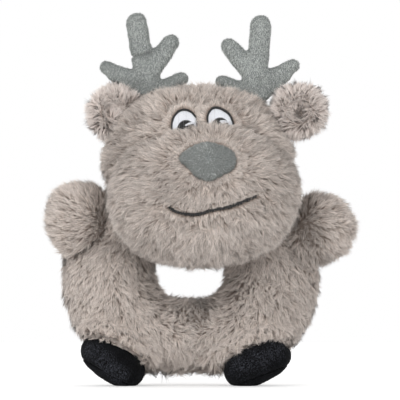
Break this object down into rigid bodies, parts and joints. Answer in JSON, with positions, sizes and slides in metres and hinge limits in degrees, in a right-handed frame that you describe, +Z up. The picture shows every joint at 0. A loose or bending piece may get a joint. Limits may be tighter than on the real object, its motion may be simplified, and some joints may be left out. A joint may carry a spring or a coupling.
{
  "type": "plush toy",
  "caption": "Stuffed long-pile deer with a ring body for gripping, a large head with antlers and cupped ears, stub arms, velvet hooves and a squeaker inside.",
  "frame": {"origin": "middle of the bounding box's footprint, on the ground under the hooves", "axes": "+Z up through the head to the antlers, -Y out of the face, +X to the right of whoever faces the toy"},
  "size_m": [0.229, 0.1334, 0.2805],
  "materials": {
    "long_pile": "long tufted faux fur, taupe",
    "ear_lining": "faux fur of shorter pile, darker in the hollow",
    "short_pile": "short brushed pile, grey",
    "black_velvet": "black velvet",
    "white_thread": "white satin-stitch embroidery",
    "black_thread": "black satin-stitch embroidery",
    "squeaker_plastic": "thin blow-moulded plastic",
    "valve_plastic": "moulded plastic"
  },
  "bodies": {
    "body": {"ring_body": "long_pile", "head": "long_pile", "muzzle": "long_pile", "squeaker_bulb": "squeaker_plastic", "squeaker_valve": "valve_plastic", "nose": "short_pile", "eye_white_left": "white_thread", "eye_outline_left": "black_thread", "pupil_left": "black_thread", "eye_glint_left": "white_thread", "eye_white_right": "white_thread", "eye_outline_right": "black_thread", "pupil_right": "black_thread", "eye_glint_right": "white_thread", "mouth_stitch": "black_thread", "philtrum_stitch": "black_thread", "hoof_upper_left": "black_velvet", "hoof_sole_left": "black_velvet", "hoof_upper_right": "black_velvet", "hoof_sole_right": "black_velvet"},
    "ear_left": {"ear_left": "long_pile", "ear_lining_left": "ear_lining"},
    "ear_right": {"ear_right": "long_pile", "ear_lining_right": "ear_lining"},
    "antler_left": {"antler_left": "short_pile"},
    "antler_right": {"antler_right": "short_pile"},
    "arm_left": {"arm_left": "long_pile"},
    "arm_right": {"arm_right": "long_pile"}
  },
  "joints": [
    {"name": "ear_left_seam", "type": "hinge", "parent": "body", "child": "ear_left", "pos_m": [-0.05983, 0.00442, 0.20214], "axis": [-0.5299, 0, -0.848], "range_deg": [-25, 25], "stiffness_Nm_per_rad": 0.02},
    {"name": "ear_right_seam", "type": "hinge", "parent": "body", "child": "ear_right", "pos_m": [0.05994, 0.00442, 0.19751], "axis": [-0.5299, 0, 0.848], "range_deg": [-25, 25], "stiffness_Nm_per_rad": 0.02},
    {"name": "antler_left_seam", "type": "hinge", "parent": "body", "child": "antler_left", "pos_m": [-0.03706, 0.01442, 0.21771], "axis": [1, 0, 0], "range_deg": [-25, 25], "stiffness_Nm_per_rad": 0.03},
    {"name": "antler_right_seam", "type": "hinge", "parent": "body", "child": "antler_right", "pos_m": [0.03894, 0.01442, 0.2151], "axis": [1, 0, 0], "range_deg": [-25, 25], "stiffness_Nm_per_rad": 0.03},
    {"name": "arm_left_seam", "type": "hinge", "parent": "body", "child": "arm_left", "pos_m": [-0.08835, 0.00842, 0.11018], "axis": [0.9903, 0, 0.1392], "range_deg": [-5, 30], "stiffness_Nm_per_rad": 0.05},
    {"name": "arm_right_seam", "type": "hinge", "parent": "body", "child": "arm_right", "pos_m": [0.07654, 0.00842, 0.10806], "axis": [0.6157, 0, -0.788], "range_deg": [-5, 30], "stiffness_Nm_per_rad": 0.05}
  ]
}
